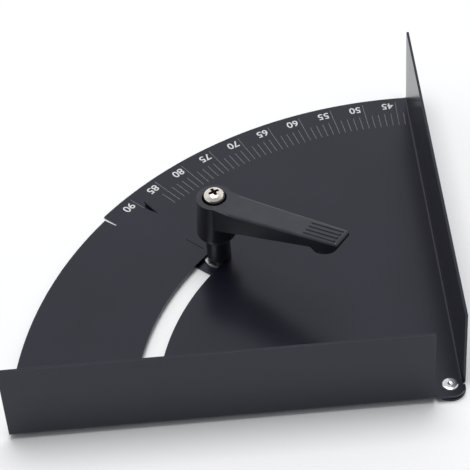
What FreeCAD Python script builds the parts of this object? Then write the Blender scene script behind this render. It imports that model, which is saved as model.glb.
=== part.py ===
import FreeCAD, Part
import math
import os

# Adjustable angle square, 45 to 90 degrees: two flanged sheet leaves on one pivot rivet, with an
# arc slot, a clamp stud and an indexing clamp lever. All sizes are in millimetres.
# The frame: X along the swinging leaf's flange, Y along the fixed leaf's flange, Z up from the
# surface that the square lies on. The origin is the middle of the foot of the whole square.

# Sheet metal
SHEET = 1.2                  # thickness of both leaves
BEND_INNER = 0.8             # inside radius of both bends
FLANGE_OFFSET = 7.0          # pivot axis to the outer face of each flange
FLANGE_TOP = 42.5            # both flanges end level at this height above the foot
BEND_RELIEF = 1.0            # gap between a flange's near end and the flat tab beside it
TAB_SETBACK = 0.3            # how far the round pivot end stays behind the flange faces

# Fixed leaf
BASE_RADIUS = 190.0          # outer arc, which carries the scale
BASE_EDGE_ANGLE = 47.8       # direction of the free edge, turned from the flange's direction
BASE_FLANGE_START = 2.3      # near end of the flange, from the pivot axis

# Swinging leaf
SWING_RADIUS = 186.6         # outer arc beyond the step
NOSE_RADIUS = 180.2          # outer arc over the scale
SECTOR_ANGLE = 45.0          # from the flange's direction to the reading line
STEP_ANGLE = 5.8             # from the reading line to the step between the two arcs
SWING_EDGE = 5.5             # free edge, measured from the reading line
NOSE_EDGE = 8.2              # the same at the nose, which is a little wider
NOSE_START = 158.0           # radius where the edge begins to widen
NOSE_LENGTH = 9.0            # length over which it widens
NOSE_CORNER = 4.0            # rounded outer corner of the nose
NOTCH_DEPTH = 11.0           # reading notch
NOTCH_WIDTH = 3.8            # its mouth
SWING_FLANGE_START = 7.4     # near end of the flange, from the pivot axis
SLOT_RADIUS = 128.5          # middle of the arc slot
SLOT_WIDTH = 9.3
SLOT_END_GAP = 0.3           # between the stud and the slot's end at each end of the travel
CLOSING_ANGLE = 41.9         # how far the leaf closes from the square position

# Pivot rivet and the washer between the leaves
RIVET_RADIUS = 2.3
RIVET_HEAD_RADIUS = 3.6
RIVET_HEAD_HEIGHT = 0.9
RIVET_EDGE_ROUND = 0.6
RIVET_DIMPLE_RADIUS = 0.8
RIVET_DIMPLE_DEPTH = 0.35
RIVET_TAIL_RADIUS = 3.4      # flush tail, set into the underside
RIVET_TAIL_DEPTH = 0.9
PIVOT_CLEARANCE = 0.05       # radial running clearance of the swinging leaf
WASHER_THICKNESS = 0.8
WASHER_CLEARANCE = 0.2       # radial, round the rivet and round the stud
PIVOT_WASHER_RADIUS = 5.2
CLAMP_WASHER_RADIUS = 6.8

# Clamp stud
STUD_ANGLE = 1.2             # from the reading line at the square position, towards the flange
STUD_RADIUS = 3.0
STUD_HEAD_RADIUS = 4.4       # round head pressed flush into the fixed leaf
STUD_ENGAGEMENT = 9.0        # length inside the lever's insert
STUD_CHAMFER = 0.6

# Clamp lever: heights are above its foot, lengths are from the stud's axis
LEVER_ANGLE = -37.8          # direction of the arm when clamped
FOOT_GAP = 0.05              # running gap over the swinging leaf
INSERT_STANDOFF = 0.4        # how far the steel insert stands out below the handle
INSERT_RADIUS = 4.2
INSERT_HEIGHT = 15.8
INSERT_COLLAR_RADIUS = 5.2
TOOTH_COUNT = 20
TOOTH_DEPTH = 0.55
TOOTH_LENGTH = 3.6
SPLINE_CLEARANCE = 0.08      # between the insert and the handle, all round
THREAD_CLEARANCE = 0.05      # radial, between stud and insert
THREAD_RUNOUT = 0.3          # bore left free above the stud's end
NECK_RADIUS = 5.5
NECK_HEIGHT = 11.0
HUB_RADIUS = 9.1             # widest, just above the cone
CONE_HEIGHT = 4.6
HUB_EDGE_ROUND = 2.2
HUB_TOP_RADIUS = 8.1
HUB_HEIGHT = 36.0
SOCKET_HEIGHT = 17.0         # top of the toothed socket
SEAT_HEIGHT = 25.0           # where the spring stands
COUNTERBORE_RADIUS = 5.6

# Lever arm: its flanks lean in towards the top, so each width is given low down and at the top
ARM_LENGTH = 67.4
ARM_TIP_HEIGHT = 44.9        # top of the arm at the tip
ARM_TIP_THICKNESS = 2.4
ARM_TIP_CORNER = 1.2
ARM_ROOT_BOTTOM = 23.0       # underside, continued to the stud's axis
ARM_RISE = 15.2              # slope of the underside in degrees
ARM_ROOT_WIDE = 7.9          # half widths
ARM_ROOT_NARROW = 6.4
ARM_TIP_WIDE = 6.2
ARM_TIP_NARROW = 5.3
ARM_BLEND = 5.0              # hollow round where the flanks run out into the hub
ARM_EDGE_ROUND = 1.3
PAD_LENGTH = 13.4            # thumb pad under the tip
PAD_STEP = 2.8               # length of the slope down to it
PAD_DEPTH = 1.9
PAD_CURVE_AT = 5.0           # a point of its curve, from the tip
PAD_CURVE_RISE = 1.6
RIB_COUNT = 4
RIB_PITCH = 2.3
RIB_RADIUS = 0.5
RIB_LENGTH = 16.0
RIB_TIP_GAP = 2.0
BLEND_SINK = 0.15            # how far the arm's round end lies inside the hub
LOFT_MARGIN = 1.5            # how far the loft runs past the arm, above and below

# Retaining screw and spring
SCREW_RADIUS = 2.5
SCREW_BITE = 5.0             # length inside the insert
SCREW_HEAD_RADIUS = 4.75
SCREW_HEAD_HEIGHT = 3.7
SCREW_HEAD_RISE = 2.95       # top of the head above the hub
SCREW_EDGE_ROUND = 1.5
RECESS_LENGTH = 5.4
RECESS_WIDTH = 1.5
RECESS_DEPTH = 2.2
RECESS_TAPER = 0.5           # width of its floor, as a share of the width at the top
SPRING_WIRE = 0.8
SPRING_MEAN_RADIUS = 4.0
SPRING_TURNS = 4
SPRING_STEPS = 12            # sections in each turn
SPRING_SIDES = 8             # sides of each section

PICK = 0.01                  # tolerance for picking edges by their place

# Worked out from the sizes above
BEND_OUTER = BEND_INNER + SHEET
BEND_START = FLANGE_OFFSET - BEND_OUTER
TAB_RADIUS = FLANGE_OFFSET - TAB_SETBACK
SWING_BOTTOM = SHEET + WASHER_THICKNESS
SWING_TOP = SWING_BOTTOM + SHEET
FOOT = SWING_TOP + FOOT_GAP
READING_LINE = 180.0 - SECTOR_ANGLE
STUD_DIRECTION = READING_LINE + STUD_ANGLE
PIVOT_X = (SWING_RADIUS - FLANGE_OFFSET) / 2
PIVOT_Y = (FLANGE_OFFSET - BASE_RADIUS) / 2
UP = FreeCAD.Vector(0, 0, 1)
AXIS = FreeCAD.Vector(0, 0, 0)


def at(x, y, z=0.0):
    return FreeCAD.Vector(x, y, z)


def polar(radius, degrees, z=0.0):
    turn = math.radians(degrees)
    return at(radius * math.cos(turn), radius * math.sin(turn), z)


def line(start, end):
    return Part.LineSegment(start, end).toShape()


def arc(radius, start, end, centre=AXIS):
    """Arc about a centre, between two directions in degrees."""
    points = [centre + polar(radius, turn) for turn in (start, (start + end) / 2, end)]
    return Part.Arc(*points).toShape()


def plate(edges, thickness, z=0.0):
    """Flat sheet with the given outline."""
    solid = Part.Face(Part.Wire(edges)).extrude(UP * thickness)
    solid.translate(UP * z)
    return solid


def cylinder(radius, bottom, top, centre=AXIS):
    return Part.makeCylinder(radius, top - bottom, centre + UP * bottom)


def turned(points):
    """Solid of revolution about Z from a closed outline of radius and height pairs."""
    outline = Part.makePolygon([at(r, 0, z) for r, z in points] + [at(points[0][0], 0, points[0][1])])
    return Part.Face(outline).revolve(AXIS, UP, 360)


def rounded_rim(radius, top, size):
    """Points of a quarter round in three steps, from the side of a turned piece to its top."""
    centre = at(radius - size, top - size)
    points = [centre + polar(size, turn) for turn in (0, 30, 60, 90)]
    return [(point.x, point.y) for point in points]


def flange(length, top, bottom):
    """Bend and flange along +Y from the origin, rising from a sheet that ends at BEND_START."""
    centre = at(BEND_START, 0, bottom + BEND_OUTER)
    lean = math.sqrt(0.5)
    outer_mid = centre + at(BEND_OUTER * lean, 0, -BEND_OUTER * lean)
    inner_mid = centre + at(BEND_INNER * lean, 0, -BEND_INNER * lean)
    foot_outer = at(BEND_START, 0, bottom)
    foot_inner = at(BEND_START, 0, bottom + SHEET)
    wall_outer = at(FLANGE_OFFSET, 0, bottom + BEND_OUTER)
    wall_inner = at(FLANGE_OFFSET - SHEET, 0, bottom + BEND_OUTER)
    top_outer = at(FLANGE_OFFSET, 0, top)
    top_inner = at(FLANGE_OFFSET - SHEET, 0, top)
    section = Part.Wire([
        Part.Arc(foot_outer, outer_mid, wall_outer).toShape(),
        line(wall_outer, top_outer),
        line(top_outer, top_inner),
        line(top_inner, wall_inner),
        Part.Arc(wall_inner, inner_mid, foot_inner).toShape(),
        line(foot_inner, foot_outer),
    ])
    return Part.Face(section).extrude(at(0, length, 0))


def base_leaf():
    """Fixed leaf: a sector with the scale arc, a rounded pivot end and its upright flange."""
    far_y = math.sqrt(BASE_RADIUS ** 2 - BEND_START ** 2)
    far_angle = math.degrees(math.atan2(far_y, BEND_START))
    edge_direction = 90.0 + BASE_EDGE_ANGLE
    edge_angle = edge_direction + math.degrees(math.asin(TAB_RADIUS / BASE_RADIUS))
    tangent_angle = edge_direction + 90.0
    tab_top = BASE_FLANGE_START - BEND_RELIEF
    outline = [
        arc(BASE_RADIUS, far_angle, edge_angle),
        line(polar(BASE_RADIUS, edge_angle), polar(TAB_RADIUS, tangent_angle)),
        arc(TAB_RADIUS, tangent_angle, 360.0),
        line(at(TAB_RADIUS, 0), at(TAB_RADIUS, tab_top)),
        line(at(TAB_RADIUS, tab_top), at(BEND_START, tab_top)),
        line(at(BEND_START, tab_top), at(BEND_START, far_y)),
    ]
    leaf = plate(outline, SHEET)
    upright = flange(far_y - BASE_FLANGE_START, FLANGE_TOP, 0.0)
    upright.translate(at(0, BASE_FLANGE_START, 0))
    leaf = leaf.fuse(upright).removeSplitter()
    leaf = leaf.cut(rivet_body())
    return leaf.cut(cylinder(STUD_HEAD_RADIUS, 0, SHEET, stud_place()))


def nose_outline(arc_start):
    """Outline of the swinging leaf from its nose arc to the pivot end, about a reading line on +X."""
    mouth = math.degrees(math.asin(NOTCH_WIDTH / 2 / NOSE_RADIUS))
    corner_y = -NOSE_EDGE + NOSE_CORNER
    corner_x = math.sqrt((NOSE_RADIUS - NOSE_CORNER) ** 2 - corner_y ** 2)
    corner_direction = math.degrees(math.atan2(corner_y, corner_x))
    corner = at(corner_x, corner_y)
    side = at(corner_x, -NOSE_EDGE)
    wide = at(NOSE_START + NOSE_LENGTH, -NOSE_EDGE)
    narrow = at(NOSE_START, -SWING_EDGE)
    tip = at(NOSE_RADIUS - NOTCH_DEPTH, 0)
    return [
        arc(NOSE_RADIUS, arc_start, mouth),
        line(polar(NOSE_RADIUS, mouth), tip),
        line(tip, polar(NOSE_RADIUS, -mouth)),
        arc(NOSE_RADIUS, -mouth, corner_direction),
        arc(NOSE_CORNER, corner_direction, -90.0, corner),
        line(side, wide),
        line(wide, narrow),
        line(narrow, at(0, -SWING_EDGE)),
    ]


def arc_slot():
    """Arc slot that the stud runs in, with round ends."""
    half = SLOT_WIDTH / 2
    play = math.degrees((half - STUD_RADIUS - SLOT_END_GAP) / SLOT_RADIUS)
    start = STUD_DIRECTION + play
    end = STUD_DIRECTION + CLOSING_ANGLE - play
    start_centre = polar(SLOT_RADIUS, start)
    end_centre = polar(SLOT_RADIUS, end)
    outline = [
        arc(SLOT_RADIUS + half, start, end),
        arc(half, end, end + 180.0, end_centre),
        arc(SLOT_RADIUS - half, end, start),
        arc(half, start + 180.0, start + 360.0, start_centre),
    ]
    return plate(outline, SHEET, SWING_BOTTOM)


def swing_leaf():
    """Swinging leaf in the square position: its flange along -X, its reading notch over the scale."""
    far_x = -math.sqrt(SWING_RADIUS ** 2 - BEND_START ** 2)
    far_angle = 180.0 + math.degrees(math.asin(BEND_START / SWING_RADIUS))
    step_angle = READING_LINE + STEP_ANGLE
    nose = nose_outline(STEP_ANGLE)
    for edge in nose:
        edge.rotate(AXIS, UP, READING_LINE)
    heel = -math.sqrt(TAB_RADIUS ** 2 - SWING_EDGE ** 2)
    heel_angle = math.degrees(math.atan2(heel, SWING_EDGE))
    tab_end = -(SWING_FLANGE_START - BEND_RELIEF)
    outline = [
        arc(SWING_RADIUS, far_angle, step_angle),
        line(polar(SWING_RADIUS, step_angle), polar(NOSE_RADIUS, step_angle)),
        *nose,
        arc(SWING_EDGE, READING_LINE - 90.0, 0.0),
        line(at(SWING_EDGE, 0), at(SWING_EDGE, heel)),
        arc(TAB_RADIUS, heel_angle, -90.0),
        line(at(0, -TAB_RADIUS), at(tab_end, -TAB_RADIUS)),
        line(at(tab_end, -TAB_RADIUS), at(tab_end, -BEND_START)),
        line(at(tab_end, -BEND_START), at(far_x, -BEND_START)),
    ]
    leaf = plate(outline, SHEET, SWING_BOTTOM)
    upright = flange(-far_x - SWING_FLANGE_START, FLANGE_TOP, SWING_BOTTOM)
    upright.translate(at(0, SWING_FLANGE_START, 0))
    upright = upright.mirror(AXIS, at(1, 0, 0))
    upright.rotate(AXIS, UP, 90.0)
    leaf = leaf.fuse(upright).removeSplitter()
    leaf = leaf.cut(arc_slot())
    return leaf.cut(cylinder(RIVET_RADIUS + PIVOT_CLEARANCE, SWING_BOTTOM, SWING_TOP))


def rivet_body():
    """Shank and flush tail, which also shape the hole in the fixed leaf."""
    return turned([
        (0, 0),
        (RIVET_TAIL_RADIUS, 0),
        (RIVET_RADIUS, RIVET_TAIL_DEPTH),
        (RIVET_RADIUS, SWING_TOP),
        (0, SWING_TOP),
    ])


def pivot_rivet():
    """Rivet that the swinging leaf turns on, with a low domed head and a set dimple."""
    top = SWING_TOP + RIVET_HEAD_HEIGHT
    head = turned([
        (0, SWING_TOP),
        (RIVET_HEAD_RADIUS, SWING_TOP),
        *rounded_rim(RIVET_HEAD_RADIUS, top, RIVET_EDGE_ROUND),
        (RIVET_DIMPLE_RADIUS, top),
        (0, top - RIVET_DIMPLE_DEPTH),
    ])
    return rivet_body().fuse(head).removeSplitter()


def washer(radius, bore, centre=AXIS):
    ring = cylinder(radius, SHEET, SWING_BOTTOM, centre)
    return ring.cut(cylinder(bore, SHEET, SWING_BOTTOM, centre))


def stud_place():
    return polar(SLOT_RADIUS, STUD_DIRECTION)


def clamp_stud():
    """Stud with a round head flush in the fixed leaf, standing up through the slot."""
    head = cylinder(STUD_HEAD_RADIUS, 0, SHEET)
    shank = cylinder(STUD_RADIUS, SHEET, FOOT + STUD_ENGAGEMENT)
    rim = [edge for edge in shank.Edges if edge.BoundBox.ZMin > FOOT]
    return head.fuse(shank.makeChamfer(STUD_CHAMFER, rim))


def toothed(radius, depth, bottom, top):
    """Star-shaped prism of pointed teeth inside the given outer radius."""
    points = []
    for index in range(TOOTH_COUNT * 2):
        reach = radius if index % 2 == 0 else radius - depth
        points.append(polar(reach, index * 180.0 / TOOTH_COUNT, bottom))
    outline = Part.makePolygon(points + [points[0]])
    return Part.Face(outline).extrude(UP * (top - bottom))


def lever_insert():
    """Steel insert: collar at the foot, plain shank, toothed crown and a bore from each end."""
    collar = cylinder(INSERT_COLLAR_RADIUS, 0, INSERT_STANDOFF)
    shank = cylinder(INSERT_RADIUS - TOOTH_DEPTH, 0, INSERT_HEIGHT - TOOTH_LENGTH)
    guide = cylinder(INSERT_RADIUS, 0, INSERT_HEIGHT - 2 * TOOTH_LENGTH)
    crown = toothed(INSERT_RADIUS, TOOTH_DEPTH, INSERT_HEIGHT - TOOTH_LENGTH, INSERT_HEIGHT)
    body = collar.fuse([shank, guide, crown]).removeSplitter()
    body = body.cut(cylinder(STUD_RADIUS + THREAD_CLEARANCE, 0, STUD_ENGAGEMENT + THREAD_RUNOUT))
    return body.cut(cylinder(SCREW_RADIUS, INSERT_HEIGHT - SCREW_BITE, INSERT_HEIGHT))


def hub_form():
    """Outside of neck, cone and tapered hub."""
    cone_top = NECK_HEIGHT + CONE_HEIGHT
    body = turned([
        (0, INSERT_STANDOFF),
        (NECK_RADIUS, INSERT_STANDOFF),
        (NECK_RADIUS, NECK_HEIGHT),
        (HUB_RADIUS, cone_top),
        (HUB_TOP_RADIUS, HUB_HEIGHT),
        (0, HUB_HEIGHT),
    ])
    shoulder = [
        edge for edge in body.Edges
        if edge.BoundBox.ZLength < PICK and abs(edge.BoundBox.ZMin - cone_top) < PICK
    ]
    return body.makeFillet(HUB_EDGE_ROUND, shoulder)


def arm_side():
    """Side outline of the arm, given its full width: rising top, underside, thumb pad and tip."""
    slope = math.tan(math.radians(ARM_RISE))
    pad_at = ARM_LENGTH - PAD_LENGTH
    pad_low_at = pad_at + PAD_STEP
    curve_at = ARM_LENGTH - PAD_CURVE_AT
    step_height = ARM_ROOT_BOTTOM + pad_at * slope
    low_height = step_height - PAD_DEPTH
    start = at(0, 0, ARM_ROOT_BOTTOM)
    hub_top = at(0, 0, HUB_HEIGHT)
    crest = at(HUB_TOP_RADIUS, 0, HUB_HEIGHT)
    tip_top = at(ARM_LENGTH, 0, ARM_TIP_HEIGHT)
    tip_low = at(ARM_LENGTH, 0, ARM_TIP_HEIGHT - ARM_TIP_THICKNESS)
    pad_curve = at(curve_at, 0, low_height + PAD_CURVE_RISE)
    pad_low = at(pad_low_at, 0, low_height)
    step = at(pad_at, 0, step_height)
    return Part.Wire([
        line(start, hub_top),
        line(hub_top, crest),
        line(crest, tip_top),
        line(tip_top, tip_low),
        Part.Arc(tip_low, pad_curve, pad_low).toShape(),
        line(pad_low, step),
        line(step, start),
    ])


def arm_plan(hub_radius, root, tip, z):
    """Plan of hub and arm at one level, with the given half widths at the root and the tip."""
    lean = math.degrees(math.atan2(root - tip, ARM_LENGTH - HUB_TOP_RADIUS))
    along = polar(1, -lean)
    out = polar(1, 90 - lean)
    reach = out.dot(at(ARM_LENGTH, tip))
    corner_x = ARM_LENGTH - ARM_TIP_CORNER
    corner_y = (reach - ARM_TIP_CORNER - out.x * corner_x) / out.y
    run = math.sqrt((hub_radius + ARM_BLEND) ** 2 - (reach + ARM_BLEND) ** 2)
    blend = out * (reach + ARM_BLEND) + along * run
    hub_turn = math.degrees(math.atan2(blend.y, blend.x))
    edges = [arc(hub_radius, hub_turn, 360 - hub_turn)]
    for side in (-1, 1):
        centre = at(blend.x, side * blend.y)
        corner = at(corner_x, side * corner_y)
        flank_start = centre + polar(ARM_BLEND, side * (270 - lean))
        flank_end = corner + polar(ARM_TIP_CORNER, side * (90 - lean))
        run_of_edges = [
            arc(ARM_BLEND, side * (180 + hub_turn), side * (270 - lean), centre),
            line(flank_start, flank_end),
            arc(ARM_TIP_CORNER, side * (90 - lean), 0, corner),
        ]
        if side < 0:
            edges.extend(run_of_edges)
            edges.append(line(at(ARM_LENGTH, -corner_y), at(ARM_LENGTH, corner_y)))
        else:
            edges.extend(reversed(run_of_edges))
    wire = Part.Wire(Part.__sortEdges__(edges))
    wire.translate(UP * z)
    return wire


def hub_radius_at(z):
    """Radius of the tapered hub at a height."""
    corner = NECK_HEIGHT + CONE_HEIGHT
    return HUB_RADIUS + (HUB_TOP_RADIUS - HUB_RADIUS) * (z - corner) / (HUB_HEIGHT - corner)


def arm_form():
    """Arm: drafted flanks lofted between two levels, cut to the side outline, long edges softened."""
    low = ARM_ROOT_BOTTOM - LOFT_MARGIN
    high = ARM_TIP_HEIGHT + LOFT_MARGIN
    body = Part.makeLoft([
        arm_plan(hub_radius_at(low) - BLEND_SINK, ARM_ROOT_WIDE, ARM_TIP_WIDE, low),
        arm_plan(hub_radius_at(high) - BLEND_SINK, ARM_ROOT_NARROW, ARM_TIP_NARROW, high),
    ], True, True)
    slab = Part.Face(arm_side()).extrude(at(0, HUB_RADIUS * 4, 0))
    slab.translate(at(0, -HUB_RADIUS * 2, 0))
    arm = slab.common(body)
    long_edges = []
    for edge in arm.Edges:
        box = edge.BoundBox
        beside = abs(box.Center.y) > ARM_TIP_NARROW / 2
        rising = box.ZLength > LOFT_MARGIN and box.XLength > ARM_TIP_THICKNESS * 2
        if beside and rising and box.Center.z > (HUB_HEIGHT + ARM_TIP_HEIGHT) / 2 - LOFT_MARGIN:
            long_edges.append(edge)
    return arm.makeFillet(ARM_EDGE_ROUND, long_edges)


def grip_ribs():
    """Raised ribs along the end of the arm's top face."""
    rise = (ARM_TIP_HEIGHT - HUB_HEIGHT) / (ARM_LENGTH - HUB_TOP_RADIUS)
    start = ARM_LENGTH - RIB_TIP_GAP - RIB_LENGTH
    ribs = []
    for index in range(RIB_COUNT):
        across = (index - (RIB_COUNT - 1) / 2) * RIB_PITCH
        rib = Part.makeCylinder(RIB_RADIUS, RIB_LENGTH, AXIS, at(1, 0, 0))
        rib.rotate(AXIS, at(0, 1, 0), -math.degrees(math.atan(rise)))
        rib.translate(at(start, across, HUB_HEIGHT + (start - HUB_TOP_RADIUS) * rise))
        ribs.append(rib)
    return ribs


def lever_handle():
    """Handle: hub and arm in one casting, bored for the insert, the screw and the spring."""
    body = hub_form().fuse(arm_form()).removeSplitter()
    body = body.fuse(grip_ribs())
    bore = INSERT_RADIUS + SPLINE_CLEARANCE
    teeth_bottom = INSERT_HEIGHT - TOOTH_LENGTH
    hollow = [
        cylinder(bore, 0, teeth_bottom),
        toothed(bore, TOOTH_DEPTH, teeth_bottom, SOCKET_HEIGHT),
        cylinder(SCREW_RADIUS + SPLINE_CLEARANCE, SOCKET_HEIGHT, SEAT_HEIGHT),
        cylinder(COUNTERBORE_RADIUS, SEAT_HEIGHT, ARM_TIP_HEIGHT),
    ]
    return body.cut(hollow[0].fuse(hollow[1:]))


def screw_head_bottom():
    return HUB_HEIGHT + SCREW_HEAD_RISE - SCREW_HEAD_HEIGHT


def lever_screw():
    """Retaining screw with a pan head and a cross recess."""
    bottom = screw_head_bottom()
    top = bottom + SCREW_HEAD_HEIGHT
    head = turned([
        (0, bottom),
        (SCREW_HEAD_RADIUS, bottom),
        *rounded_rim(SCREW_HEAD_RADIUS, top, SCREW_EDGE_ROUND),
        (0, top),
    ])
    half_length = RECESS_LENGTH / 2
    half_width = RECESS_WIDTH / 2
    floor = half_width * RECESS_TAPER
    for turn in (45.0, 135.0):
        wing = Part.makeWedge(
            -half_length, 0, -half_width, -floor, -floor,
            half_length, RECESS_DEPTH, half_width, floor, floor,
        )
        wing.rotate(AXIS, at(1, 0, 0), -90.0)
        wing.rotate(AXIS, UP, turn)
        wing.translate(UP * top)
        head = head.cut(wing)
    shank = cylinder(SCREW_RADIUS, INSERT_HEIGHT - SCREW_BITE, bottom)
    return head.fuse(shank)


def lever_spring():
    """Coil spring between the seat in the handle and the screw's head, lofted through its turns."""
    half = SPRING_WIRE / 2
    low = SEAT_HEIGHT + half + SPLINE_CLEARANCE / 2
    rise = screw_head_bottom() - SEAT_HEIGHT - SPRING_WIRE - SPLINE_CLEARANCE
    steps = SPRING_TURNS * SPRING_STEPS
    sections = []
    for step in range(steps + 1):
        corners = [polar(half, side * 360.0 / SPRING_SIDES) for side in range(SPRING_SIDES)]
        section = Part.makePolygon(corners + [corners[0]])
        section.rotate(AXIS, at(1, 0, 0), 90.0)
        section.translate(at(SPRING_MEAN_RADIUS, 0, low + rise * step / steps))
        section.rotate(AXIS, UP, step * 360.0 / SPRING_STEPS)
        sections.append(section)
    return Part.makeLoft(sections, True, True)


def on_lever(shape):
    """Turns a lever piece to the arm's direction and stands it over the stud."""
    shape.rotate(AXIS, UP, LEVER_ANGLE)
    shape.translate(stud_place() + UP * FOOT)
    return shape


def on_stud(shape):
    shape.translate(stud_place())
    return shape


def main():
    os.makedirs("parts", exist_ok=True)
    pieces = {
        "base_leaf": base_leaf(),
        "swing_leaf": swing_leaf(),
        "pivot_rivet": pivot_rivet(),
        "pivot_washer": washer(PIVOT_WASHER_RADIUS, RIVET_RADIUS + WASHER_CLEARANCE),
        "clamp_stud": on_stud(clamp_stud()),
        "clamp_washer": washer(CLAMP_WASHER_RADIUS, STUD_RADIUS + WASHER_CLEARANCE, stud_place()),
        "lever_insert": on_lever(lever_insert()),
        "lever_handle": on_lever(lever_handle()),
        "lever_screw": on_lever(lever_screw()),
        "lever_spring": on_lever(lever_spring()),
    }
    for name, shape in pieces.items():
        shape.translate(at(PIVOT_X, PIVOT_Y, 0))
        solids = shape.Solids
        print(name, shape.isValid(), len(solids), round(shape.Volume, 2), shape.BoundBox)
        shape.exportStep("parts/" + name + ".step")


main()
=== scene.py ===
"""Visual model of an adjustable angle square: two flanged black leaves, a scale and a clamp lever."""

import logging
import math
from dataclasses import dataclass, field, replace
from enum import Enum
from typing import Any, Dict, List, Sequence, Tuple

import bmesh
import bpy
from mathutils import Matrix, Vector

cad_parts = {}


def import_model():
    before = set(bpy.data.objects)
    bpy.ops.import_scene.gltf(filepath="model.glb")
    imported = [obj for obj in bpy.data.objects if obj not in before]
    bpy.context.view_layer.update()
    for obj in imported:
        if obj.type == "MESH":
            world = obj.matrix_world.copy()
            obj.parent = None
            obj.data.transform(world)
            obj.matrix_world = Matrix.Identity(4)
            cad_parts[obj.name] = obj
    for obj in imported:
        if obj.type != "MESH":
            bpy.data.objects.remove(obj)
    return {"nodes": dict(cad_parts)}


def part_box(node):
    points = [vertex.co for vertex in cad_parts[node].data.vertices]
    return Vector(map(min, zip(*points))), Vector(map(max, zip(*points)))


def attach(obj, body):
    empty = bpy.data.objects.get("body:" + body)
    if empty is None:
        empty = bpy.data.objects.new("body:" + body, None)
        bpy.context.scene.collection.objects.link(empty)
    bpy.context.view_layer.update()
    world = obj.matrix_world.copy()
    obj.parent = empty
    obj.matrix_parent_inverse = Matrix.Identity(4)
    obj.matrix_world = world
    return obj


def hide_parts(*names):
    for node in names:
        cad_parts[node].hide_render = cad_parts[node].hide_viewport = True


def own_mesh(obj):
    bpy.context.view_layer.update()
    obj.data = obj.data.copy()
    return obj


frame: Dict[str, Any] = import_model()

LOG = logging.getLogger("angle_square")

# Lengths are in millimetres up to the last step of each shape, which scales it by MM.
MM = 0.001
CORNER_WELD = 0.002
AXIS_WELD = 0.0005
FIGURE_WELD = 0.001
FLAT_DEGREES = 0.4

# Noise lies mostly between these two values.
NOISE_LOW = 0.3
NOISE_HIGH = 0.7

Colour = Tuple[float, float, float, float]
Pair = Tuple[float, float]
Triple = Tuple[float, float, float]


class Body(Enum):
    """Rigid bodies that the pieces ride on."""

    BASE = "base"
    SWING = "swing"
    LEVER_CORE = "lever_core"
    HANDLE = "handle"


class Slot(Enum):
    """Material slots of the record."""

    SHEET = "sheet"
    RIVET = "rivet"
    WASHER = "washer"
    STUD = "stud"
    INSERT = "insert"
    SCREW = "screw"
    SPRING = "spring"
    HANDLE = "handle"


def grey(value: float) -> Colour:
    """Returns a neutral linear colour."""
    return (value, value, value, 1.0)


def dimmed(colour: Colour, share: float) -> Colour:
    """Returns a share of a linear colour."""
    return (colour[0] * share, colour[1] * share, colour[2] * share, 1.0)


def about_z(degrees: float) -> Matrix:
    """Returns a turn about the upright axis."""
    return Matrix.Rotation(math.radians(degrees), 3, "Z")


@dataclass
class Graph:
    """Node graph of one material, with short calls for the nodes that the finishes share."""

    material: bpy.types.Material

    def node(self, kind: str) -> bpy.types.Node:
        """Adds a node and returns it."""
        return self.material.node_tree.nodes.new(kind)

    def link(self, start: bpy.types.NodeSocket, end: bpy.types.NodeSocket) -> None:
        """Joins an output to an input."""
        self.material.node_tree.links.new(start, end)

    def noise(
        self, scale: float, detail: float, stretch: Sequence[float] = (1, 1, 1)
    ) -> bpy.types.NodeSocket:
        """Adds noise on the piece's own coordinates.

        Args:
            scale: Frequency per metre.
            detail: Octaves.
            stretch: Scale of each axis, for brushed patterns.

        Returns:
            The noise value.
        """
        place = self.node("ShaderNodeTexCoord")
        mapping = self.node("ShaderNodeMapping")
        mapping.inputs["Scale"].default_value = stretch
        noise = self.node("ShaderNodeTexNoise")
        noise.inputs["Scale"].default_value = scale
        noise.inputs["Detail"].default_value = detail
        self.link(place.outputs["Object"], mapping.inputs["Vector"])
        self.link(mapping.outputs["Vector"], noise.inputs["Vector"])
        return noise.outputs["Fac"]

    def spread(self, value: bpy.types.NodeSocket, low: float, high: float) -> bpy.types.NodeSocket:
        """Maps a noise value from its usual middle range to a range of its own.

        Args:
            value: Value to map.
            low: Result for dark noise.
            high: Result for bright noise.

        Returns:
            The mapped value.
        """
        ramp = self.node("ShaderNodeMapRange")
        ramp.inputs["From Min"].default_value = NOISE_LOW
        ramp.inputs["From Max"].default_value = NOISE_HIGH
        ramp.inputs["To Min"].default_value = low
        ramp.inputs["To Max"].default_value = high
        self.link(value, ramp.inputs["Value"])
        return ramp.outputs["Result"]

    def blend(self, value: bpy.types.NodeSocket, low: Colour, high: Colour) -> bpy.types.NodeSocket:
        """Mixes two colours by a noise value.

        Args:
            value: Value that mixes them.
            low: Colour for dark noise.
            high: Colour for bright noise.

        Returns:
            The mixed colour.
        """
        ramp = self.node("ShaderNodeValToRGB")
        ramp.color_ramp.elements[0].position = NOISE_LOW
        ramp.color_ramp.elements[0].color = low
        ramp.color_ramp.elements[1].position = NOISE_HIGH
        ramp.color_ramp.elements[1].color = high
        self.link(value, ramp.inputs["Fac"])
        return ramp.outputs["Color"]

    def bump(self, value: bpy.types.NodeSocket, strength: float, depth: float) -> bpy.types.NodeSocket:
        """Turns a height into a surface normal.

        Args:
            value: Height.
            strength: Share of the bump.
            depth: Depth in metres.

        Returns:
            The normal.
        """
        made = self.node("ShaderNodeBump")
        made.inputs["Strength"].default_value = strength
        made.inputs["Distance"].default_value = depth
        self.link(value, made.inputs["Height"])
        return made.outputs["Normal"]

    def surface(self) -> bpy.types.Node:
        """Returns the material's surface shader."""
        return self.material.node_tree.nodes["Principled BSDF"]


def new_graph(name: str) -> Graph:
    """Makes a material with its surface shader alone."""
    material = bpy.data.materials.new(name)
    material.use_nodes = True
    return Graph(material)


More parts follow.
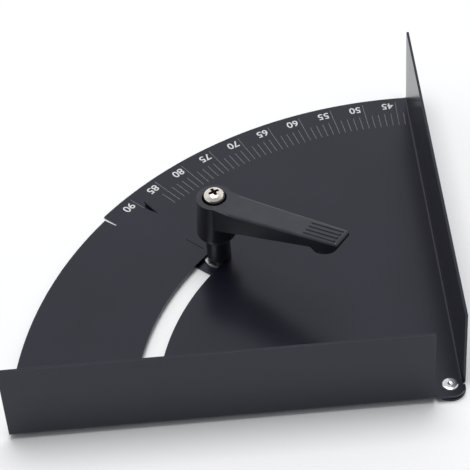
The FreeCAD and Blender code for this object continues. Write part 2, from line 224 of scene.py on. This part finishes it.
@dataclass(frozen=True)
class BlackSurface:
    """Black coating or moulding: a faint mottled sheen over a fine grain.

    Each pair in gloss is a roughness, in tones a share of the base colour, and in cloud and grain
    the scale and the detail of a noise.
    """

    name: str
    base: Colour
    sheen: Colour
    gloss: Pair
    cloud: Pair
    grain: Pair
    grain_share: float
    grain_depth: float
    tones: Pair
    index: float = 1.5

    def build(self) -> bpy.types.Material:
        """Returns the material."""
        graph = new_graph(self.name)
        surface = graph.surface()
        cloud = graph.noise(*self.cloud)
        grain = graph.noise(*self.grain)
        dark, light = (dimmed(self.base, share) for share in self.tones)
        graph.link(graph.blend(cloud, dark, light), surface.inputs["Base Color"])
        graph.link(graph.spread(cloud, *self.gloss), surface.inputs["Roughness"])
        normal = graph.bump(grain, self.grain_share, self.grain_depth)
        graph.link(normal, surface.inputs["Normal"])
        surface.inputs["IOR"].default_value = self.index
        surface.inputs["Specular Tint"].default_value = self.sheen
        return graph.material


@dataclass(frozen=True)
class PlatedSteel:
    """Plated steel with fine turning marks and a faint stain."""

    name: str
    light: Colour
    dark: Colour
    gloss: Pair
    stretch: Triple = (1.0, 1.0, 12.0)
    marks: Pair = (900.0, 4.0)
    stain: Pair = (260.0, 2.0)
    mark_share: float = 0.2
    mark_depth: float = 0.00002

    def build(self) -> bpy.types.Material:
        """Returns the material."""
        graph = new_graph(self.name)
        surface = graph.surface()
        marks = graph.noise(*self.marks, self.stretch)
        stain = graph.noise(*self.stain)
        graph.link(graph.blend(stain, self.dark, self.light), surface.inputs["Base Color"])
        graph.link(graph.spread(marks, *self.gloss), surface.inputs["Roughness"])
        normal = graph.bump(marks, self.mark_share, self.mark_depth)
        graph.link(normal, surface.inputs["Normal"])
        surface.inputs["Metallic"].default_value = 1.0
        return graph.material


@dataclass(frozen=True)
class LaserMark:
    """Pale grey laser mark in the black coating, a little uneven."""

    name: str
    low: float
    high: float
    speckle: Pair = (5200.0, 2.0)
    gloss: Pair = (0.5, 0.7)

    def build(self) -> bpy.types.Material:
        """Returns the material."""
        graph = new_graph(self.name)
        surface = graph.surface()
        speckle = graph.noise(*self.speckle)
        colour = graph.blend(speckle, grey(self.low), grey(self.high))
        graph.link(colour, surface.inputs["Base Color"])
        graph.link(graph.spread(speckle, *self.gloss), surface.inputs["Roughness"])
        return graph.material


@dataclass(frozen=True)
class RecessShadeAndGrime:
    """Dark brown painted shade of the screw's deep cross recess, partly a real film of oil and dust.
    """

    name: str = "brown_recess_shade_and_grime"
    # Both colours paint the recess's shade, tinted brown by oil and dust.
    light: Colour = (0.07, 0.042, 0.03, 1.0)
    dark: Colour = (0.018, 0.011, 0.009, 1.0)
    shade_and_grime: Pair = (1500.0, 3.0)
    gloss: Pair = (0.4, 0.65)
    shade_and_grime_share: float = 0.3
    shade_and_grime_depth: float = 0.00003

    def build(self) -> bpy.types.Material:
        """Returns the material."""
        graph = new_graph(self.name)
        surface = graph.surface()
        shade_and_grime = graph.noise(*self.shade_and_grime)
        graph.link(graph.blend(shade_and_grime, self.dark, self.light), surface.inputs["Base Color"])
        graph.link(graph.spread(shade_and_grime, *self.gloss), surface.inputs["Roughness"])
        normal = graph.bump(shade_and_grime, self.shade_and_grime_share, self.shade_and_grime_depth)
        graph.link(normal, surface.inputs["Normal"])
        return graph.material


SATIN_COAT = BlackSurface(
    "satin_black_coat",
    base=(0.0048, 0.0046, 0.0095, 1.0),
    sheen=(0.82, 0.84, 1.0, 1.0),
    gloss=(0.23, 0.27),
    cloud=(22.0, 3.0),
    grain=(2600.0, 2.0),
    grain_share=0.25,
    grain_depth=0.000002,
    tones=(0.75, 1.3),
)
SCRIBED_COAT = replace(
    SATIN_COAT, name="dark_scribed_line", base=grey(0.001), sheen=grey(0.4), gloss=(0.6, 0.8)
)
MOULDED_BLACK = BlackSurface(
    "moulded_black",
    base=(0.016, 0.016, 0.021, 1.0),
    sheen=(0.88, 0.9, 1.0, 1.0),
    gloss=(0.34, 0.42),
    cloud=(120.0, 2.0),
    grain=(3200.0, 3.0),
    grain_share=0.35,
    grain_depth=0.00002,
    tones=(0.8, 1.3),
)
FIGURE_MARK = LaserMark("pale_laser_mark", low=0.6, high=0.8)
LINE_MARK = LaserMark("thin_laser_line", low=0.2, high=0.32)
NICKEL = PlatedSteel(
    "bright_nickel", light=(0.86, 0.82, 0.77, 1), dark=(0.7, 0.64, 0.56, 1), gloss=(0.14, 0.26)
)
POLISHED_RIVET = PlatedSteel(
    "polished_rivet",
    light=(0.78, 0.79, 0.82, 1),
    dark=(0.62, 0.63, 0.66, 1),
    gloss=(0.07, 0.13),
    stretch=(1.0, 1.0, 1.0),
)
ZINC = PlatedSteel(
    "zinc_plate", light=(0.72, 0.73, 0.74, 1), dark=(0.58, 0.58, 0.6, 1), gloss=(0.22, 0.38)
)
DARK_STEEL = PlatedSteel(
    "blackened_steel", light=(0.2, 0.2, 0.21, 1), dark=(0.12, 0.12, 0.125, 1), gloss=(0.3, 0.45)
)
SPRING_WIRE = PlatedSteel(
    "spring_wire", light=(0.62, 0.61, 0.6, 1), dark=(0.48, 0.47, 0.46, 1), gloss=(0.2, 0.32)
)


@dataclass
class Finishes:
    """Every material of the square, built once."""

    sheet: bpy.types.Material = field(default_factory=SATIN_COAT.build)
    handle: bpy.types.Material = field(default_factory=MOULDED_BLACK.build)
    mark: bpy.types.Material = field(default_factory=FIGURE_MARK.build)
    line_mark: bpy.types.Material = field(default_factory=LINE_MARK.build)
    scribe: bpy.types.Material = field(default_factory=SCRIBED_COAT.build)
    # Painted shade of the screw's recess, with a brown tint of grime.
    recess_shade_and_grime: bpy.types.Material = field(default_factory=RecessShadeAndGrime().build)
    nickel: bpy.types.Material = field(default_factory=NICKEL.build)
    rivet: bpy.types.Material = field(default_factory=POLISHED_RIVET.build)
    zinc: bpy.types.Material = field(default_factory=ZINC.build)
    dark_steel: bpy.types.Material = field(default_factory=DARK_STEEL.build)
    spring: bpy.types.Material = field(default_factory=SPRING_WIRE.build)


def add_object(name: str, data: bpy.types.ID) -> bpy.types.Object:
    """Makes an object in the scene from a mesh, curve, lamp or camera."""
    made = bpy.data.objects.new(name, data)
    bpy.context.scene.collection.objects.link(made)
    return made


def as_mesh(shape: bmesh.types.BMesh, name: str) -> bpy.types.Mesh:
    """Turns a shape into a mesh and uses the shape up."""
    mesh = bpy.data.meshes.new(name)
    shape.to_mesh(mesh)
    shape.free()
    return mesh


def finish_piece(
    name: str,
    shape: bmesh.types.BMesh,
    material: bpy.types.Material,
    body: Body,
    sharp: float = 32.0,
) -> bpy.types.Object:
    """Turns a shape into a finished piece that rides on a body.

    Args:
        name: The piece's name.
        shape: The shape, which is used up.
        material: Its finish.
        body: The body that it rides on.
        sharp: Angle in degrees past which an edge stays sharp.

    Returns:
        The new object.
    """
    mesh = as_mesh(shape, name)
    mesh.materials.append(material)
    mesh.shade_smooth()
    mesh.set_sharp_from_angle(angle=math.radians(sharp))
    piece = add_object(name, mesh)
    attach(piece, body.value)
    LOG.info("%s: %d faces on %s", name, len(mesh.polygons), body.value)
    return piece


@dataclass
class Softened:
    """A solid of the square with its real, slightly broken edges.

    An edge of zero keeps the edges that the solid has. Otherwise each edge that turns by more than
    least_angle degrees is rounded.
    """

    node: str
    body: Body
    slot: Slot
    edge: float = 0.12
    least_angle: float = 38.0
    segments: int = 2

    def shape(self) -> bmesh.types.BMesh:
        """Returns the solid's shape with merged corners and broken edges."""
        shape = bmesh.new()
        shape.from_mesh(frame["nodes"][self.node].data)
        bmesh.ops.remove_doubles(shape, verts=shape.verts, dist=CORNER_WELD * MM)
        bmesh.ops.dissolve_limit(
            shape,
            angle_limit=math.radians(FLAT_DEGREES),
            use_dissolve_boundaries=False,
            verts=shape.verts,
            edges=shape.edges,
        )
        if self.edge > 0:
            limit = math.radians(self.least_angle)
            inner = [edge for edge in shape.edges if len(edge.link_faces) == 2]
            bmesh.ops.bevel(
                shape,
                geom=[edge for edge in inner if edge.calc_face_angle() > limit],
                offset=self.edge * MM,
                offset_type="OFFSET",
                segments=self.segments,
                profile=0.5,
                affect="EDGES",
                clamp_overlap=True,
                material=-1,
            )
        return shape

    def build(self, material: bpy.types.Material) -> bpy.types.Object:
        """Makes the piece and puts it in the solid's place.

        Args:
            material: Its finish.

        Returns:
            The new object.
        """
        piece = finish_piece(self.node + "_skin", self.shape(), material, self.body)
        even = piece.modifiers.new("even_shading", "WEIGHTED_NORMAL")
        even.keep_sharp = True
        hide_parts(self.node)
        return piece


def turned_solid(
    profile: Sequence[Pair], axis: Vector, steps: int
) -> bmesh.types.BMesh:
    """Spins a profile once round an upright axis.

    Args:
        profile: Radius and height of each point, from the bottom middle to the top middle.
        axis: The axis in plan.
        steps: Sections of the full turn.

    Returns:
        The closed solid, in metres.
    """
    shape = bmesh.new()
    corners = [shape.verts.new((radius, 0.0, height)) for radius, height in profile]
    edges = [shape.edges.new(pair) for pair in zip(corners, corners[1:])]
    bmesh.ops.spin(
        shape,
        geom=corners + edges,
        cent=(0, 0, 0),
        axis=(0, 0, 1),
        angle=math.tau,
        steps=steps,
        use_merge=True,
    )
    bmesh.ops.remove_doubles(shape, verts=shape.verts, dist=AXIS_WELD)
    bmesh.ops.recalc_face_normals(shape, faces=shape.faces)
    bmesh.ops.translate(shape, vec=(axis.x, axis.y, 0), verts=shape.verts)
    bmesh.ops.scale(shape, vec=(MM, MM, MM), verts=shape.verts)
    return shape


@dataclass(frozen=True)
class Dome:
    """Top of a head from its rim to its middle, an ellipse with power 2 and flatter with more."""

    power: float
    points: int

    def profile(self, radius: float, low: float, high: float) -> List[Pair]:
        """Works out the dome's points.

        Args:
            radius: Radius of the rim.
            low: Height of the rim.
            high: Height of the middle.

        Returns:
            Radius and height of each point.
        """
        found = []
        for step in range(self.points):
            turn = math.pi / 2 * step / (self.points - 1)
            across = max(math.cos(turn), 0.0) ** (2 / self.power)
            found.append((radius * across, low + (high - low) * math.sin(turn)))
        return found


@dataclass
class Place:
    """The square's two upright axes, read from the solids, and the tops of its two leaves."""

    pivot: Vector = field(default_factory=lambda: Place.middle("pivot_rivet"))
    stud: Vector = field(default_factory=lambda: Place.middle("clamp_stud"))
    sheet_top: float = 1.2
    swing_top: float = 3.2

    @staticmethod
    def middle(node: str) -> Vector:
        """Returns the middle of a solid's box in plan."""
        low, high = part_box(node)
        return Vector(((low[0] + high[0]) / 2 / MM, (low[1] + high[1]) / 2 / MM, 0.0))

    def polar(self, radius: float, degrees: float, height: float) -> Vector:
        """Returns the point at a radius and direction about the pivot."""
        turn = math.radians(degrees)
        return self.pivot + Vector((radius * math.cos(turn), radius * math.sin(turn), height))


@dataclass(frozen=True)
class RadialMark:
    """Thin bar that lies on a leaf along a radius about the pivot, from inner to outer."""

    inner: float
    outer: float
    width: float
    height: float
    degrees: float

    def shape(self, place: Place, leaf_top: float) -> bmesh.types.BMesh:
        """Makes the bar.

        Args:
            place: The square's axes.
            leaf_top: Height of the face that it lies on.

        Returns:
            The bar's shape, in metres.
        """
        shape = bmesh.new()
        bmesh.ops.create_cube(shape, size=1.0)
        size = (self.outer - self.inner, self.width, self.height)
        bmesh.ops.scale(shape, vec=size, verts=shape.verts)
        middle = ((self.inner + self.outer) / 2, 0, leaf_top + self.height / 2)
        bmesh.ops.translate(shape, vec=middle, verts=shape.verts)
        bmesh.ops.rotate(shape, cent=(0, 0, 0), matrix=about_z(self.degrees), verts=shape.verts)
        bmesh.ops.translate(shape, vec=place.pivot, verts=shape.verts)
        bmesh.ops.scale(shape, vec=(MM, MM, MM), verts=shape.verts)
        return shape


def cut(shape: bmesh.types.BMesh, cutter: bmesh.types.BMesh) -> bmesh.types.BMesh:
    """Cuts one solid with another and uses both up.

    Args:
        shape: The solid to cut.
        cutter: The solid that cuts, whose faces keep their material numbers.

    Returns:
        What is left of the first solid.
    """
    body = add_object("cut_body", as_mesh(shape, "cut_body"))
    blade = add_object("cut_blade", as_mesh(cutter, "cut_blade"))
    modifier = body.modifiers.new("cut", "BOOLEAN")
    modifier.operation = "DIFFERENCE"
    modifier.object = blade
    left = bmesh.new()
    left.from_object(body, bpy.context.evaluated_depsgraph_get())
    for item in (body, blade):
        mesh = item.data
        bpy.data.objects.remove(item)
        bpy.data.meshes.remove(mesh)
    return left


def join(target: bmesh.types.BMesh, part: bmesh.types.BMesh) -> None:
    """Adds a shape to another and uses it up."""
    mesh = as_mesh(part, "joining")
    target.from_mesh(mesh)
    bpy.data.meshes.remove(mesh)


def shorten(spring: bpy.types.Object) -> None:
    """Gives the spring's piece a mesh of its own.

    Args:
        spring: The spring's piece.
    """
    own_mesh(spring)


@dataclass
class PivotRivet:
    """Pivot rivet with a low bright head, a small dimple and a tail flush with the underside."""

    place: Place
    shank_radius: float = 2.3
    tail_radius: float = 3.4
    tail_depth: float = 0.9
    head_radius: float = 3.4
    head_height: float = 0.72
    rim: float = 0.15
    dome: Dome = Dome(power=4.0, points=12)
    dimple_radius: float = 0.7
    dimple_depth: float = 0.22
    dimple_border: float = 0.2
    slope_radius_share: float = 0.55
    slope_depth_share: float = 0.7
    steps: int = 72
    sharp: float = 40.0

    def profile(self) -> List[Pair]:
        """Returns the radius and height of the rivet's points, from the tail to the dimple."""
        low = self.place.swing_top
        top = low + self.head_height
        tail = [(0.0, 0.0), (self.tail_radius, 0.0), (self.tail_radius, self.tail_depth)]
        shank = [(self.shank_radius, self.tail_depth), (self.shank_radius, low)]
        dome = self.dome.profile(self.head_radius, low + self.rim, top)
        border = self.dimple_radius + self.dimple_border
        head = [(self.head_radius, low)] + [point for point in dome if point[0] > border]
        slope = (
            self.dimple_radius * self.slope_radius_share,
            top - self.dimple_depth * self.slope_depth_share,
        )
        dimple = [(self.dimple_radius, top), slope, (0.0, top - self.dimple_depth)]
        return tail + shank + head + dimple

    def build(self, material: bpy.types.Material) -> bpy.types.Object:
        """Makes the rivet in the solid's place and returns it."""
        shape = turned_solid(self.profile(), self.place.pivot, self.steps)
        piece = finish_piece(
            "pivot_rivet_turned", shape, material, Body.BASE, self.sharp
        )
        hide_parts("pivot_rivet")
        return piece


@dataclass
class RetainingScrew:
    """Pan-head screw that holds the handle, with a domed head and a tapered cross recess."""

    place: Place
    bottom: float = 14.05
    shank_radius: float = 2.5
    seat: float = 38.5
    head_radius: float = 4.75
    rim_top: float = 39.9
    top: float = 42.75
    dome: Dome = Dome(power=2.7, points=14)
    recess_half_length: float = 2.75
    recess_half_width: float = 0.8
    recess_depth: float = 2.5
    recess_over: float = 0.5
    recess_taper: float = 0.6
    recess_turn: float = 25.0
    steps: int = 96
    sharp: float = 40.0

    def wing(self, degrees: float) -> bmesh.types.BMesh:
        """Returns one of the recess's two tapered bars, which cuts the head."""
        shape = bmesh.new()
        bmesh.ops.create_cube(shape, size=1.0)
        height = self.recess_depth + self.recess_over
        size = (2 * self.recess_half_length, 2 * self.recess_half_width, height)
        bmesh.ops.scale(shape, vec=size, verts=shape.verts)
        floor = [vert for vert in shape.verts if vert.co.z < 0]
        bmesh.ops.scale(shape, vec=(self.recess_taper, self.recess_taper, 1.0), verts=floor)
        bmesh.ops.rotate(shape, cent=(0, 0, 0), matrix=about_z(degrees), verts=shape.verts)
        middle = self.place.stud + Vector((0, 0, self.top + self.recess_over - height / 2))
        bmesh.ops.translate(shape, vec=middle, verts=shape.verts)
        bmesh.ops.scale(shape, vec=(MM, MM, MM), verts=shape.verts)
        # The recess's faces take the second material, which paints their shade dark brown.
        for face in shape.faces:
            face.material_index = 1
        return shape

    def shape(self) -> bmesh.types.BMesh:
        """Returns the screw with its recess cut."""
        shank = [(0.0, self.bottom), (self.shank_radius, self.bottom)]
        shank += [(self.shank_radius, self.seat), (self.head_radius, self.seat)]
        dome = self.dome.profile(self.head_radius, self.rim_top, self.top)
        shape = turned_solid(shank + dome, self.place.stud, self.steps)
        for degrees in (self.recess_turn, self.recess_turn + 90.0):
            shape = cut(shape, self.wing(degrees))
        return shape

    def build(self, material: bpy.types.Material, shade_and_grime: bpy.types.Material) -> bpy.types.Object:
        """Makes the screw in the solid's place.

        Args:
            material: Its finish.
            shade_and_grime: Finish of the recess.

        Returns:
            The new object.
        """
        piece = finish_piece(
            "lever_screw_turned", self.shape(), material, Body.LEVER_CORE, self.sharp
        )
        # Second material: the recess's painted shade, tinted brown by grime.
        piece.data.materials.append(shade_and_grime)
        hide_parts("lever_screw")
        return piece


@dataclass
class DegreeScale:
    """Degree lines and figures marked on the fixed leaf, read at the swinging leaf's notch.

    Every fifth line is long and has a figure beside it.
    """

    place: Place
    first: int = 44
    last: int = 90
    long_step: int = 5
    zero_direction: float = 45.0
    inner: float = 169.8
    short_outer: float = 178.8
    long_outer: float = 187.4
    line_width: float = 0.17
    mark_height: float = 0.02
    figure_radius: float = 184.6
    figure_size: float = 5.9
    figure_weight: float = 0.07
    figure_shift: float = 4.2

    def is_long(self, degree: int) -> bool:
        """Tells whether a degree has a long line and a figure."""
        return degree % self.long_step == 0

    def line(self, degree: int) -> bmesh.types.BMesh:
        """Returns the line of one degree."""
        outer = self.long_outer if self.is_long(degree) else self.short_outer
        direction = self.zero_direction + degree
        mark = RadialMark(self.inner, outer, self.line_width, self.mark_height, direction)
        return mark.shape(self.place, self.place.sheet_top)

    def text(self, words: str) -> bmesh.types.BMesh:
        """Returns words as a thin flat shape in the middle of the plan, in millimetres."""
        curve = bpy.data.curves.new("figure", "FONT")
        curve.body = words
        curve.size = self.figure_size
        curve.align_x = "CENTER"
        curve.align_y = "CENTER"
        curve.extrude = self.mark_height / 2
        curve.offset = self.figure_weight
        holder = add_object("figure", curve)
        seen = holder.evaluated_get(bpy.context.evaluated_depsgraph_get())
        mesh = bpy.data.meshes.new_from_object(seen)
        shape = bmesh.new()
        shape.from_mesh(mesh)
        bpy.data.objects.remove(holder)
        bpy.data.curves.remove(curve)
        bpy.data.meshes.remove(mesh)
        bmesh.ops.remove_doubles(shape, verts=shape.verts, dist=FIGURE_WELD)
        return shape

    def figure(self, degree: int) -> bmesh.types.BMesh:
        """Returns the figure beside one of the long lines, its top towards the pivot."""
        shape = self.text(str(degree))
        aside = math.degrees(self.figure_shift / self.figure_radius)
        direction = self.zero_direction + degree + aside
        lift = self.place.sheet_top + self.mark_height / 2
        centre = self.place.polar(self.figure_radius, direction, lift)
        turn = about_z(direction + 90.0)
        bmesh.ops.rotate(shape, cent=(0, 0, 0), matrix=turn, verts=shape.verts)
        bmesh.ops.translate(shape, vec=centre, verts=shape.verts)
        bmesh.ops.scale(shape, vec=(MM, MM, MM), verts=shape.verts)
        return shape

    def build(
        self, line_mark: bpy.types.Material, figure_mark: bpy.types.Material
    ) -> List[bpy.types.Object]:
        """Marks the scale.

        Args:
            line_mark: The lines' finish.
            figure_mark: The figures' finish.

        Returns:
            The lines and the figures, as two pieces.
        """
        lines = bmesh.new()
        figures = bmesh.new()
        for degree in range(self.first, self.last + 1):
            join(lines, self.line(degree))
            if self.is_long(degree):
                join(figures, self.figure(degree))
        return [
            finish_piece("scale_lines", lines, line_mark, Body.BASE),
            finish_piece("scale_figures", figures, figure_mark, Body.BASE),
        ]


@dataclass
class ScribedLine:
    """Fine dark line scribed in the swinging leaf outside its slot."""

    place: Place
    mark: RadialMark = RadialMark(
        inner=136.6, outer=147.4, width=0.5, height=0.02, degrees=136.8
    )

    def build(self, material: bpy.types.Material) -> bpy.types.Object:
        """Marks the line and returns it."""
        shape = self.mark.shape(self.place, self.place.swing_top)
        return finish_piece("scribed_line", shape, material, Body.SWING)


def seen_rays(tree: bpy.types.NodeTree) -> bpy.types.NodeSocket:
    """Returns one for camera, glossy and transmission rays, and zero for the rest."""
    path = tree.nodes.new("ShaderNodeLightPath")
    both = tree.nodes.new("ShaderNodeMath")
    both.operation = "MAXIMUM"
    every = tree.nodes.new("ShaderNodeMath")
    every.operation = "MAXIMUM"
    tree.links.new(path.outputs["Is Camera Ray"], both.inputs[0])
    tree.links.new(path.outputs["Is Glossy Ray"], both.inputs[1])
    tree.links.new(both.outputs[0], every.inputs[0])
    tree.links.new(path.outputs["Is Transmission Ray"], every.inputs[1])
    return every.outputs[0]


@dataclass
class Room:
    """Pale surroundings: paler low down than overhead, and dimmer on the camera's side.

    Seen directly or in a reflection, the room has the tone of tones at its height, from 0 at the
    horizon to 1 overhead. It lights the square evenly with light. Both are dimmed towards -Y.
    """

    light: Colour = (0.54, 0.55, 0.575, 1.0)
    tones: Tuple[Pair, ...] = ((0.0, 1.0), (0.5, 0.97), (0.7, 0.92), (0.82, 0.8), (1.0, 0.6))
    front_from: float = -0.6
    front_to: float = 0.4
    front_share: float = 0.55

    def tone(
        self, tree: bpy.types.NodeTree, height: bpy.types.NodeSocket
    ) -> bpy.types.NodeSocket:
        """Returns the room's tone by the height of a direction."""
        room = tree.nodes.new("ShaderNodeValToRGB")
        room.color_ramp.interpolation = "EASE"
        stops = room.color_ramp.elements
        while len(stops) < len(self.tones):
            stops.new(0.5)
        for stop, (position, tone) in zip(stops, self.tones):
            stop.position = position
            stop.color = grey(tone)
        tree.links.new(height, room.inputs["Fac"])
        return room.outputs["Color"]

    def share(
        self, tree: bpy.types.NodeTree, depth: bpy.types.NodeSocket
    ) -> bpy.types.NodeSocket:
        """Returns the share of the light that is left by the depth of a direction."""
        front = tree.nodes.new("ShaderNodeMapRange")
        front.interpolation_type = "SMOOTHSTEP"
        front.inputs["From Min"].default_value = self.front_from
        front.inputs["From Max"].default_value = self.front_to
        front.inputs["To Min"].default_value = self.front_share
        tree.links.new(depth, front.inputs["Value"])
        return front.outputs["Result"]

    def build(self) -> None:
        """Makes the world."""
        world = bpy.data.worlds.new("studio")
        bpy.context.scene.world = world
        world.use_nodes = True
        tree = world.node_tree
        tree.nodes.clear()
        place = tree.nodes.new("ShaderNodeTexCoord")
        parts = tree.nodes.new("ShaderNodeSeparateXYZ")
        mix = tree.nodes.new("ShaderNodeMix")
        mix.data_type = "RGBA"
        mix.inputs["A"].default_value = self.light
        dim = tree.nodes.new("ShaderNodeVectorMath")
        dim.operation = "SCALE"
        back = tree.nodes.new("ShaderNodeBackground")
        out = tree.nodes.new("ShaderNodeOutputWorld")
        tree.links.new(place.outputs["Generated"], parts.inputs[0])
        tree.links.new(self.tone(tree, parts.outputs["Z"]), mix.inputs["B"])
        tree.links.new(seen_rays(tree), mix.inputs["Factor"])
        tree.links.new(mix.outputs["Result"], dim.inputs[0])
        tree.links.new(self.share(tree, parts.outputs["Y"]), dim.inputs["Scale"])
        tree.links.new(dim.outputs["Vector"], back.inputs["Color"])
        tree.links.new(back.outputs["Background"], out.inputs["Surface"])


@dataclass
class Floor:
    """Pale floor just under the square, a little paler to the camera and in reflections."""

    half_metres: float = 3.0
    drop: float = 0.02
    tone: float = 0.85
    seen_tone: float = 1.0

    def material(self) -> bpy.types.Material:
        """Returns the floor's matt material."""
        graph = new_graph("pale_floor")
        surface = graph.surface()
        surface.inputs["Roughness"].default_value = 1.0
        surface.inputs["Specular IOR Level"].default_value = 0.0
        tone = graph.node("ShaderNodeMapRange")
        tone.inputs["To Min"].default_value = self.tone
        tone.inputs["To Max"].default_value = self.seen_tone
        graph.link(seen_rays(graph.material.node_tree), tone.inputs["Value"])
        graph.link(tone.outputs["Result"], surface.inputs["Base Color"])
        return graph.material

    def build(self) -> bpy.types.Object:
        """Makes the floor and returns it."""
        shape = bmesh.new()
        bmesh.ops.create_grid(shape, x_segments=2, y_segments=2, size=self.half_metres)
        bmesh.ops.translate(shape, vec=(0, 0, -self.drop * MM), verts=shape.verts)
        mesh = as_mesh(shape, "floor")
        mesh.materials.append(self.material())
        floor = add_object("floor", mesh)
        return floor


@dataclass
class SoftLamp:
    """Wide square lamp over the square, which faces the origin, in metres and watts."""

    name: str = "overhead_lamp"
    place: Triple = (0.0, 0.1, 1.35)
    size: float = 0.9
    watts: float = 12.0

    def build(self) -> bpy.types.Object:
        """Makes the lamp and returns it."""
        data = bpy.data.lights.new(self.name, "AREA")
        data.shape = "SQUARE"
        data.size = self.size
        data.energy = self.watts
        lamp = add_object(self.name, data)
        lamp.location = self.place
        lamp.rotation_euler = (-Vector(self.place)).to_track_quat("-Z", "Y").to_euler()
        return lamp


@dataclass
class PhotoCamera:
    """Camera at the photograph's view: its place and its level and forward directions."""

    place: Triple = (-0.34, -620.28, 618.23)
    ahead: Triple = (0.010445, 0.732122, -0.681093)
    side: Triple = (0.996387, -0.065033, -0.054625)
    lens: float = 146.35
    sensor: float = 36.0
    shift: Pair = (-0.00929, -0.1)
    nearest: float = 0.01
    farthest: float = 50.0

    def build(self) -> bpy.types.Object:
        """Makes the camera and returns it."""
        data = bpy.data.cameras.new("camera")
        data.sensor_width = self.sensor
        data.lens = self.lens
        data.shift_x, data.shift_y = self.shift
        data.clip_start = self.nearest
        data.clip_end = self.farthest
        camera = add_object("camera", data)
        ahead = Vector(self.ahead).normalized()
        side = Vector(self.side).normalized()
        above = side.cross(ahead).normalized()
        turn = Matrix((side, above, -ahead)).transposed()
        camera.matrix_world = Matrix.Translation(Vector(self.place) * MM) @ turn.to_4x4()
        bpy.context.scene.camera = camera
        return camera


def build_studio() -> None:
    """Builds the floor, the room, the lamp and the camera."""
    Floor().build()
    Room().build()
    SoftLamp().build()
    PhotoCamera().build()
    bpy.context.scene.view_settings.view_transform = "Standard"


def main() -> None:
    """Builds the square piece by piece."""
    logging.basicConfig(level=logging.INFO)
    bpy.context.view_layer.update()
    place = Place()
    finishes = Finishes()
    Softened("base_leaf", Body.BASE, Slot.SHEET).build(finishes.sheet)
    Softened("swing_leaf", Body.SWING, Slot.SHEET).build(finishes.sheet)
    PivotRivet(place).build(finishes.rivet)
    Softened("pivot_washer", Body.BASE, Slot.WASHER, edge=0.1).build(finishes.zinc)
    Softened("clamp_stud", Body.BASE, Slot.STUD, edge=0.1).build(finishes.zinc)
    Softened("clamp_washer", Body.BASE, Slot.WASHER, edge=0.15).build(finishes.zinc)
    Softened("lever_insert", Body.LEVER_CORE, Slot.INSERT, edge=0.0).build(finishes.dark_steel)
    Softened("lever_handle", Body.HANDLE, Slot.HANDLE, edge=0.0).build(finishes.handle)
    RetainingScrew(place).build(finishes.nickel, finishes.recess_shade_and_grime)
    spring = Softened("lever_spring", Body.LEVER_CORE, Slot.SPRING, edge=0.0).build(finishes.spring)
    shorten(spring)
    DegreeScale(place).build(finishes.line_mark, finishes.mark)
    ScribedLine(place).build(finishes.scribe)
    build_studio()


if __name__ == "__main__":
    main()
